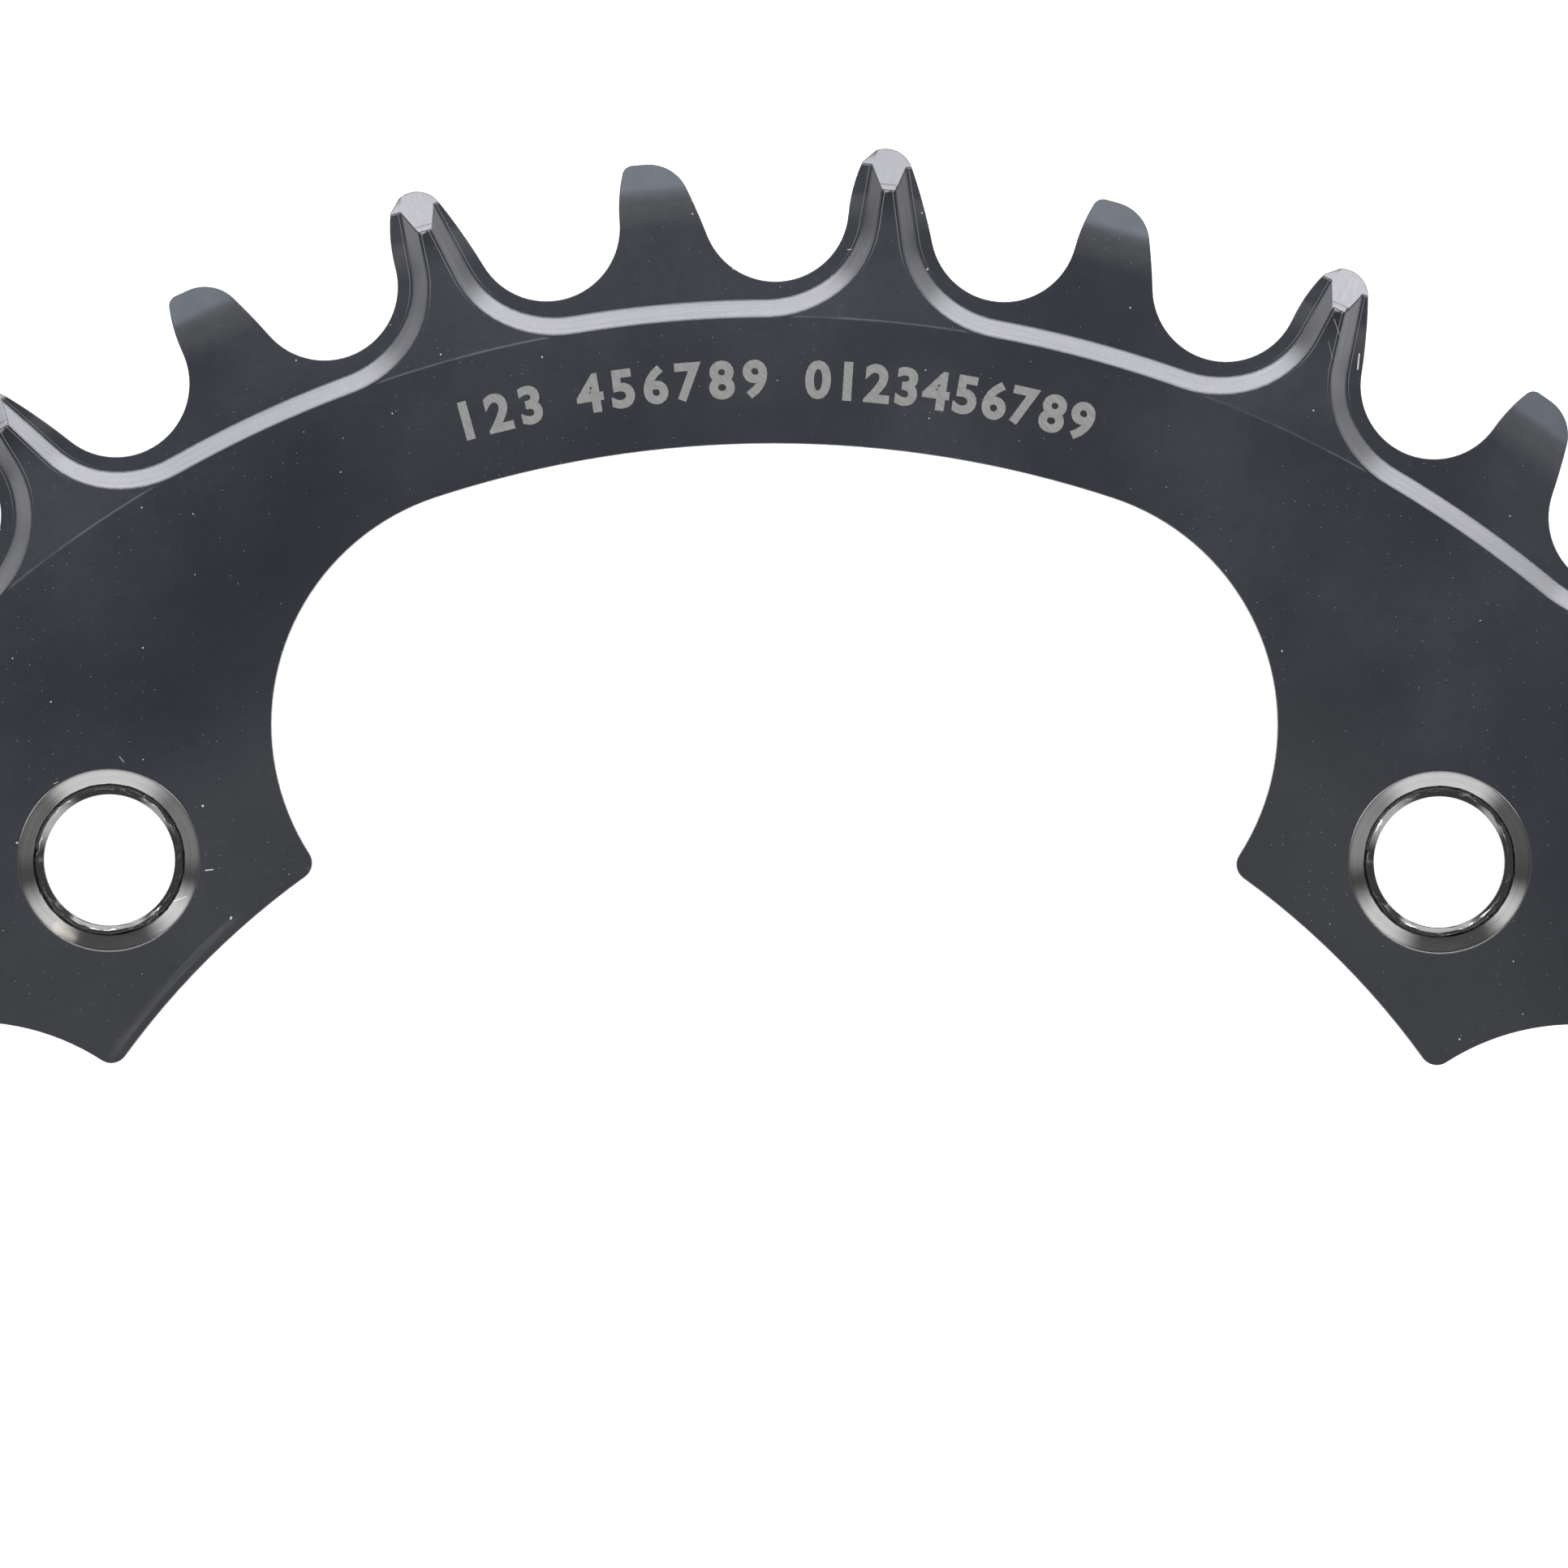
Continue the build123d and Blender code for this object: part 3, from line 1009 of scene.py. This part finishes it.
tree, given, wanted = start_group(
    "single_mark", ["Mask"],
    Place=(0, 0, 0), Centre=(0, 0, 0), Turn=0.0, Length=0.4, Width=0.05, Softness=0.4,
)
moved = vector_calc("SUBTRACT", given["Place"], given["Centre"])
turning = {"Vector": moved, "Angle": times(given["Turn"], -1.0)}
mark = split(node(tree, "VectorRotate", turning, {"rotation_type": "Z_AXIS"}))
past = larger(minus(calc("ABSOLUTE", mark["X"]), times(given["Length"], 0.5)), 0.0)
off = calc("SQRT", plus(times(past, past), times(mark["Y"], mark["Y"])))
half = times(given["Width"], 0.5)
firm = times(half, minus(1.0, given["Softness"]))
link(ramp(off, firm, half, 1.0, 0.0), wanted["Mask"])
print("groups:", len(bpy.data.node_groups))

# %% [markdown]
# Thin pale and dark lines run beside the creases. They are painted highlight and painted
# shade. The mesh carries the distance to each crease, so a line is a narrow window on
# that distance. Dust and lint aren't metal, so the last group also turns the metal off
# and makes the surface matt under them.

# %% Node groups for lines beside creases and for laying dust on metal
tree, given, wanted = start_group(
    "crease_line", ["Mask"], Distance=0.0, Centre=0.13, Width=0.05
)
off = calc("ABSOLUTE", minus(given["Distance"], given["Centre"]))
link(ramp(calc("DIVIDE", off, given["Width"]), 0.2, 0.7, 1.0, 0.0), wanted["Mask"])

tree, given, wanted = start_group(
    "dusty_metal", ["Colour", "Roughness", "Metallic"],
    Colour=(0.1, 0.1, 0.1, 1), Roughness=0.2, Dust=0.0,
)
dust_colour, dust_roughness = (0.62, 0.62, 0.60, 1), 0.85
link(blend(given["Dust"], given["Colour"], dust_colour), wanted["Colour"])
matt = {"Factor": given["Dust"], "A": given["Roughness"], "B": dust_roughness}
link(node(tree, "Mix", matt), wanted["Roughness"])
link(minus(1.0, given["Dust"]), wanted["Metallic"])
print("groups:", len(bpy.data.node_groups))

# %% [markdown]
# ## Black anodised aluminium
#
# Anodising grows a hard, clear, dyed layer on the metal. It looks like very dark metal
# with a satin sheen. The same layer lies on every surface, but the cutters left each
# of them with another texture, so each gets a material of its own. All of them start
# from the same places: millimetres on the ring, and the cutter's path.

# %% Start and end of a finish
def new_finish(name):
    """A new material on the ring: its shader, and places in millimetres."""
    material = bpy.data.materials.new(name)
    material.use_nodes = True
    mesh.materials.append(material)
    tree = material.node_tree
    spot = tree.nodes.new("ShaderNodeTexCoord").outputs["Object"]
    place = node(tree, "VectorMath", {0: spot, "Scale": 1000.0}, {"operation": "SCALE"})
    return tree.nodes["Principled BSDF"], place


def mesh_map(shader, name):
    """One of the mesh's two maps."""
    return node(shader.id_data, "UVMap", {}, {"uv_map": name})


def add_bump(shader, height, depth):
    """Raise a pattern by a depth in metres."""
    bump = {"Height": height, "Distance": depth, "Strength": 1.0}
    link(node(shader.id_data, "Bump", bump), shader.inputs["Normal"])
    print("nodes in this finish:", len(shader.id_data.nodes))


def end_metal(shader, colour, roughness, dust, height, depth):
    """Lay the dust, link everything to the shader, and add the bump."""
    dusty = use("dusty_metal", Colour=colour, Roughness=roughness, Dust=dust).node.outputs
    link(dusty["Colour"], shader.inputs["Base Color"])
    link(dusty["Roughness"], shader.inputs["Roughness"])
    link(dusty["Metallic"], shader.inputs["Metallic"])
    add_bump(shader, height, depth)

# %% The shared groups by short names
def cloudy(place, size):
    return use("layer_clouds", Place=place, Size=size)


def streaky(path, length, width):
    return use("cutter_streaks", Path=path, Length=length, Width=width)


def line_at(distance, centre, width):
    return use("crease_line", Distance=distance, Centre=centre, Width=width)


def mark_at(place, centre, turn, length, width, softness=0.4):
    shape = {"Turn": turn, "Length": length, "Width": width, "Softness": softness}
    return use("single_mark", Place=place, Centre=centre, **shape)


def scattered_dust(place, amount):
    """Fine and coarse specks that lie closer together in some places."""
    share = times(cloudy(place, 7.0), amount)
    fine = use("dust_specks", Place=place, Cell=0.7, Share=share, Size=0.020)
    coarse = use("dust_specks", Place=place, Cell=2.7, Share=share, Size=0.036)
    return larger(times(fine, 0.45), coarse)


print("shared groups:", [group.name for group in bpy.data.node_groups])

# %% [markdown]
# ### The turned faces
#
# The faces are smooth, slightly cloudy and a little blue. They are paler on the tabs,
# and darker in a patch on the left. On the thin teeth a pale band and patches on the
# tips are painted highlight, and the ridges of the thick teeth get painted shade
# towards their tips.

# %% Colours of the faces
shader, place = new_finish("anodised_face")
flat_place, radius = flattened(place)
over = split(mesh_map(shader, "crease_distance"))["X"]
reach = split(mesh_map(shader, "cutter_path"))["Y"]
clouds = cloudy(place, 11.0)
grain = cloudy(place, 0.5)
on_tabs = ramp(radius, 48.0, 59.0, 1.0, 0.0)
on_cone = ramp(radius, flat_radius - 0.1, flat_radius + 0.2, 0.0, 1.0)
flat_colour = blend(clouds, (0.063, 0.068, 0.080, 1), (0.074, 0.080, 0.093, 1))
flat_colour = blend(on_tabs, flat_colour, (0.087, 0.092, 0.103, 1))
cone_colour = blend(clouds, (0.066, 0.071, 0.084, 1), (0.077, 0.084, 0.098, 1))
colour = blend(on_cone, flat_colour, cone_colour)
quiet = mark_at(flat_place, (-29.8, 51.0, 0), 1.0, 11.0, 17.0, 1.0)
colour = blend(quiet, colour, (0.049, 0.055, 0.066, 1))
print("nodes so far:", len(shader.id_data.nodes))

# %% Painted highlight and shade on the teeth
in_pocket = calc("LESS_THAN", over, 0.0)
# Painted highlight: a pale band near the tips of the thin teeth.
painted_tip_highlight = times(ramp(radius, 71.7, 73.4, 0.0, 1.0), in_pocket)
painted_tip_highlight = times(painted_tip_highlight, ramp(radius, 73.55, 74.1, 1.0, 0.0))
colour = blend(painted_tip_highlight, colour, (0.121, 0.126, 0.137, 1))
# Painted highlight: pale, cloudy patches on the tip bevels of the thin teeth.
tip = times(ramp(radius, 73.5, 74.3, 0.0, 0.27), in_pocket)
tip_highlight_patches = cloudy(place, 1.0)
colour = tint(colour, tip, tip_highlight_patches, (0.108, 0.115, 0.128, 1))
# Painted shade: the ridges of the thick teeth darken towards their tips.
on_ridge = calc("GREATER_THAN", over, 0.0)
painted_ridge_shade = times(ramp(radius, 71.5, 74.0, 0.0, 0.7), on_ridge)
colour = blend(painted_ridge_shade, colour, (0.035, 0.037, 0.043, 1))
print("nodes so far:", len(shader.id_data.nodes))

# %% [markdown]
# A pale line and a dark one run along each ridge and each strip beside the bevels, up
# at the teeth; they are painted highlight and painted shade. A faint, uneven pale ring
# where the cone starts is painted highlight too.

# %% Lines on the faces
# Painted highlight and painted shade: pale and dark lines beside the creases, and a pale ring
# where the cone starts.
high = ramp(radius, 69.0, 71.5, 0.0, 1.0)
painted_highlight_lines = times(larger(line_at(over, 0.135, 0.05), line_at(reach, -0.14, 0.05)), high)
painted_shade_lines = times(larger(line_at(over, 0.075, 0.05), line_at(reach, -0.08, 0.05)), high)
cone_start_highlight = line_at(radius, flat_radius, 0.12)
cone_start_highlight = times(cone_start_highlight, calc("GREATER_THAN", over, 0.15))
uneven = plus(cloudy(place, 3.5), 0.25)
painted_highlight_lines = larger(painted_highlight_lines, times(times(cone_start_highlight, uneven), 0.5))
colour = tint(colour, painted_highlight_lines, 0.8, (0.30, 0.305, 0.315, 1))
colour = tint(colour, painted_shade_lines, 0.5, (0.02, 0.02, 0.025, 1))
print("nodes so far:", len(shader.id_data.nodes))

# %% [markdown]
# A few marks are placed one by one: two curls of lint beside the left bolt hole, a nick
# and scratches on the right wide tooth, and some larger specks. On the left tab the
# crank has rubbed a soft band, parallel to the tab's round end.

# %% Marks on the face
# x, y, turn in degrees, length, width and strength of each
face_marks = (
    (-36.06, 42.33, -50, 0.38, 0.06, 0.45),
    (-31.22, 36.23, 6, 0.40, 0.07, 0.95),
    (-39.69, 41.03, 25, 0.26, 0.06, 0.5),
    (4.11, 70.58, 4, 0.22, 0.06, 0.8),
    (32.25, 64.43, 84, 0.85, 0.09, 0.95),
    (31.04, 66.32, -70, 0.95, 0.05, 0.35),
    (31.36, 66.27, 75, 0.84, 0.05, 0.3),
    (30.68, 65.09, -77, 0.97, 0.04, 0.25),
    (-31.58, 39.77, 0, 0.02, 0.13, 1.0),
    (-30.01, 33.58, 70, 0.08, 0.12, 0.9),
    (8.42, 69.50, 60, 0.06, 0.10, 0.9),
    (-41.84, 37.71, 0, 0.02, 0.12, 0.9),
)
dust = scattered_dust(place, 0.5)
for x, y, turn, length, width, strength in face_marks:
    mark = mark_at(flat_place, (x, y, 0), radians(turn), length, width)
    dust = larger(dust, times(mark, strength))
print("nodes so far:", len(shader.id_data.nodes))

# %% The band that the crank rubbed on the left tab
tab_way, across_tab = (-0.744, 0.669, 0), (0.669, 0.744, 0)
on_left_tab = vector_calc("DOT_PRODUCT", vector_calc("NORMALIZE", flat_place), tab_way, result=1)
on_left_tab = ramp(on_left_tab, 0.992, 0.997, 0.0, 1.0)
rub_path = join(vector_calc("DOT_PRODUCT", flat_place, across_tab, result=1), radius)
rub_streaks = ramp(streaky(rub_path, 5.0, 0.12), 0.1, 0.9, 0.25, 0.9)
rubbed = line_at(radius, register_radius + 0.61, 0.42)
colour = tint(colour, times(rubbed, on_left_tab), rub_streaks, (0.17, 0.17, 0.175, 1))
gloss = plus(between(clouds, 0.19, 0.27), times(grain, 0.03))
end_metal(shader, colour, gloss, dust, grain, 0.4e-6)

# %% [markdown]
# ### The milled bevels and cones
#
# The pocket cutter left fine streaks along the bevels, which the light behind the ring
# brings out. Beside the creases dark lines are painted shade.

# %% Finish of the bevels
shader, place = new_finish("anodised_bevel")
path = mesh_map(shader, "cutter_path")
over = split(mesh_map(shader, "crease_distance"))["X"]
streaks = streaky(path, 9.0, 0.16)
clouds = cloudy(place, 1.3)
colour = blend(streaks, (0.106, 0.107, 0.114, 1), (0.122, 0.123, 0.131, 1))
colour = tint(colour, clouds, 0.2, (0.098, 0.1, 0.108, 1))
in_pocket = calc("LESS_THAN", over, 0.0)
# Painted shade: dark lines along the creases at a pocket's top and foot, and round the foot of
# each turned cone.
top_crease_shade = line_at(over, -0.06, 0.06)
foot_crease_shade = line_at(split(path)["Y"], 0.05, 0.06)
lines = times(larger(top_crease_shade, foot_crease_shade), in_pocket)
radius = flattened(place)[1]
cone_foot_shade = line_at(radius, cone_radius + 0.33, 0.11)
lines = larger(lines, times(cone_foot_shade, minus(1.0, in_pocket)))
colour = tint(colour, lines, 0.45, (0.045, 0.046, 0.05, 1))
gloss = between(streaks, 0.18, 0.23)
end_metal(shader, colour, gloss, scattered_dust(place, 0.10), streaks, 0.6e-6)

# %% [markdown]
# ### The walls round the teeth
#
# A milling cutter went round the outline, so its streaks run round the ring, one above
# the other. Nothing rubs here but the chain.

# %% Finish of the walls
shader, place = new_finish("anodised_edge")
path = mesh_map(shader, "cutter_path")
streaks = streaky(path, 6.0, 0.09)
clouds = cloudy(place, 5.0)
colour = blend(streaks, (0.070, 0.075, 0.085, 1), (0.092, 0.098, 0.110, 1))
colour = tint(colour, clouds, 0.4, (0.06, 0.064, 0.073, 1))
gloss = between(streaks, 0.2, 0.32)
end_metal(shader, colour, gloss, scattered_dust(place, 0.05), streaks, 2.5e-6)

# %% [markdown]
# ### The bolt holes
#
# The chamfer was turned with a countersink, which leaves rings, and is glossier than
# the bevels. The tap left a ragged, bright burr where the threads begin. On the left
# hole a bolt head has slipped: a scratch crosses its chamfer, and one place is worn.

# %% Colours of the bolt holes
shader, place = new_finish("anodised_bore")
bolt_place = bolt_ring * sqrt(0.5)
moved = vector_calc("SUBTRACT", vector_calc("ABSOLUTE", place), (bolt_place, bolt_place, 0))
from_axis = flattened(moved)[1]
rings = streaky(join(0.0, from_axis), 1.0, 0.15)
colour = blend(rings, (0.087, 0.087, 0.087, 1), (0.099, 0.098, 0.097, 1))
threaded = ramp(from_axis, 4.02, 4.22, 1.0, 0.0)
colour = blend(threaded, colour, (0.062, 0.061, 0.060, 1))
wavy = plus(from_axis, times(cloudy(place, 1.1), 0.24))
burr = line_at(wavy, 4.03, 0.06)
broken_up = ramp(cloudy(place, 0.8), 0.35, 0.7, 0.0, 0.5)
colour = tint(colour, burr, broken_up, (0.42, 0.415, 0.40, 1))
print("nodes so far:", len(shader.id_data.nodes))

# %% Painted rim shade and highlight, the scratch and the worn place
chamfer_rim = bolt_radius + front_chamfer
# Painted shade and painted highlight: a dark line just inside the chamfer's outer rim, and a
# bright one on it.
painted_rim_shade = line_at(from_axis, chamfer_rim - 0.085, 0.06)
colour = tint(colour, painted_rim_shade, 0.65, (0.03, 0.03, 0.033, 1))
painted_rim_highlight = line_at(from_axis, chamfer_rim - 0.015, 0.05)
colour = tint(colour, painted_rim_highlight, 0.3, (0.3, 0.3, 0.305, 1))
scratch = mark_at(place, (-32.84, 34.63, 3.5), 0.36, 0.75, 0.08, 0.8)
colour = tint(colour, scratch, 0.28, (0.4, 0.4, 0.4, 1))
worn = mark_at(place, (-39.16, 32.80, 3.4), -0.55, 0.9, 1.0, 1.0)
colour = blend(worn, colour, (0.22, 0.205, 0.187, 1))
gloss = between(cloudy(place, 2.0), 0.10, 0.14)
gloss = plus(gloss, times(worn, 0.12))
end_metal(shader, colour, gloss, scattered_dust(place, 0.2), rings, 0.6e-6)

# %% [markdown]
# ### The laser marking
#
# A laser burns the dye out in close parallel strokes, which leaves a matt, slightly
# grainy grey. It isn't metal to the eye any more.

# %% Finish of the numbers
shader, place = new_finish("anodised_number")
slant = node(
    shader.id_data, "VectorRotate", {"Vector": place, "Angle": 0.8}, {"rotation_type": "Z_AXIS"}
)
strokes = streaky(slant, 0.9, 0.12)
grain = cloudy(place, 0.16)
colour = blend(strokes, (0.19, 0.19, 0.188, 1), (0.27, 0.27, 0.267, 1))
colour = tint(colour, grain, 0.5, (0.21, 0.21, 0.21, 1))
link(colour, shader.inputs["Base Color"])
link(between(grain, 0.6, 0.85), shader.inputs["Roughness"])
add_bump(shader, strokes, 3e-6)
print("finishes:", [material.name for material in mesh.materials])

# %% [markdown]
# ## Floor, light and camera
#
# The ring lies on a plain white floor that spreads out of sight. The camera and shiny
# metal both see it as white.

# %% Floor
bpy.ops.mesh.primitive_plane_add(size=6.0, location=(0, 0, -0.00001))
floor = bpy.context.object
floor.name = "floor"
floor_paint = bpy.data.materials.new("floor_paint")
floor_paint.use_nodes = True
tree = floor_paint.node_tree
shader = tree.nodes["Principled BSDF"]
paint = {"Base Color": (0.82, 0.82, 0.82, 1), "Roughness": 0.9, "Specular IOR Level": 0.0}
for name, value in (paint | {"Emission Color": (1, 1, 1, 1)}).items():
    shader.inputs[name].default_value = value
seen = tree.nodes.new("ShaderNodeLightPath").outputs
mirrored_in = larger(seen["Is Glossy Ray"], seen["Is Transmission Ray"])
viewed = larger(seen["Is Camera Ray"], mirrored_in)
link(times(viewed, 0.8), shader.inputs["Emission Strength"])
floor.data.materials.append(floor_paint)
floor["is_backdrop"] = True
print("floor paint:", len(tree.nodes), "nodes")

# %% [markdown]
# Soft light comes from all round, and a little less from straight above, where the
# camera and the ceiling are. Dark metal shows what it mirrors, so each lamp has its
# own surfaces to light: a 45 degree bevel seen from above mirrors what stands level
# with it, and a flatter cone mirrors what stands higher.

# %% Soft light from all round
world = bpy.data.worlds.new("studio")
bpy.context.scene.world = world
world.use_nodes = True
tree = world.node_tree
tree.nodes.clear()
way = split(node(tree, "TexCoord", {}, result="Generated"))
level = ramp(way["Z"], 0.80, 0.97, 0.62, 0.50)
seen = tree.nodes.new("ShaderNodeLightPath").outputs
shown = node(tree, "Mix", {"Factor": seen["Is Camera Ray"], "A": level, "B": 1.0})
glow = node(tree, "Background", {"Color": (1, 1, 1, 1), "Strength": shown})
link(glow, tree.nodes.new("ShaderNodeOutputWorld").inputs["Surface"])
print("soft light:", len(tree.nodes), "nodes")

# %% [markdown]
# Each lamp is a soft rectangle that stands at a turn clockwise from the back, between a
# low and a high angle over the floor, and fades towards its ends. The strip and the two
# boxes behind the ring light its bevels, its cones and its thin tips. The others draw
# the light and dark arcs on the chamfers of the bolt holes.

# %% Lamps
# name, turn, half width, low and high angle in degrees, brightness, and how far its
# full light reaches across and up, of 0.5
lamps = (
    ("back_strip", 0, 52, 0.0, 4.5, 11.0, 0.22, 0.5),
    ("back_softbox", 0, 46, 26.8, 35.2, 8.0, 0.36, 0.3),
    ("high_softbox", 0, 50, 54.0, 80.0, 2.45, 0.22, 0.2),
    ("left_spot", -54, 26, 5.0, 15.0, 6.2, 0.04, 0.2),
    ("right_spot", 46, 31, 5.0, 15.0, 6.0, 0.06, 0.2),
    ("left_softbox", -112, 34, 0.0, 12.0, 1.6, 0.22, 0.2),
    ("right_softbox", 112, 34, 0.0, 13.0, 2.1, 0.22, 0.2),
    ("left_front_spot", -135, 20, 22.0, 40.0, 5.0, 0.1, 0.2),
    ("right_front_spot", 125, 30, 22.0, 40.0, 6.5, 0.1, 0.2),
    ("front_softbox", 180, 50, 3.0, 17.0, 5.7, 0.18, 0.2),
)
lamp_distance, lit_place = 0.9, Vector((0, 0.04, 0.002))
for name, turn, half_width, low, high, brightness, core_across, core_up in lamps:
    rise = radians((low + high) / 2)
    lamp = bpy.data.lights.new(name, "AREA")
    lamp.shape = "RECTANGLE"
    lamp.size = 2 * lamp_distance * cos(rise) * tan(radians(half_width))
    lamp.size_y = lamp_distance * radians(high - low)
    lamp.energy = brightness * pi * lamp.size * lamp.size_y
    holder = bpy.data.objects.new(name, lamp)
    away = polar((0, 0), cos(rise), 90 - turn)
    towards = Vector((*away, sin(rise)))
    holder.location = towards * lamp_distance + lit_place
    holder.rotation_euler = towards.to_track_quat("Z", "Y").to_euler()
    bpy.context.scene.collection.objects.link(holder)
    lamp.use_nodes = True
    tree = lamp.node_tree
    on_lamp = split(node(tree, "NewGeometry", {}, result="Parametric"))
    sideways = calc("ABSOLUTE", minus(on_lamp["X"], 0.5))
    upward = calc("ABSOLUTE", minus(on_lamp["Y"], 0.5))
    falloff = ramp(sideways, core_across, 0.5, 1.0, 0.0)
    if core_up < 0.5:
        falloff = times(falloff, ramp(upward, core_up, 0.5, 1.0, 0.0))
    link(falloff, tree.nodes["Emission"].inputs["Strength"])
    print(name, "is", round(lamp.size, 2), "by", round(lamp.size_y, 2), "m")

# %% [markdown]
# The camera looks straight down from two metres, through a long lens, at the upper half
# of the ring. The ring's axis lies just above the lower edge of the picture.

# %% Camera
view_width, view_distance = 0.08663, 2.0
camera_data = bpy.data.cameras.new("camera")
camera_data.sensor_width = 36.0
camera_data.lens = 36.0 * view_distance / view_width
camera_data.clip_start, camera_data.clip_end = 0.01, 20
camera = bpy.data.objects.new("camera", camera_data)
camera.location = (0.00053, 0.04103, 0.004 + view_distance)
camera.rotation_euler = (0, 0, 0.00154)
bpy.context.scene.collection.objects.link(camera)
bpy.context.scene.camera = camera
bpy.context.scene.view_settings.view_transform = "Standard"
print("lens, mm:", round(camera_data.lens, 1))

# %% [markdown]
# ## The box of the drawn ring
#
# The box round the drawn ring is measured. The drawn ring must lie inside the imported
# one's box.

# %% Finish
low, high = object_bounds()
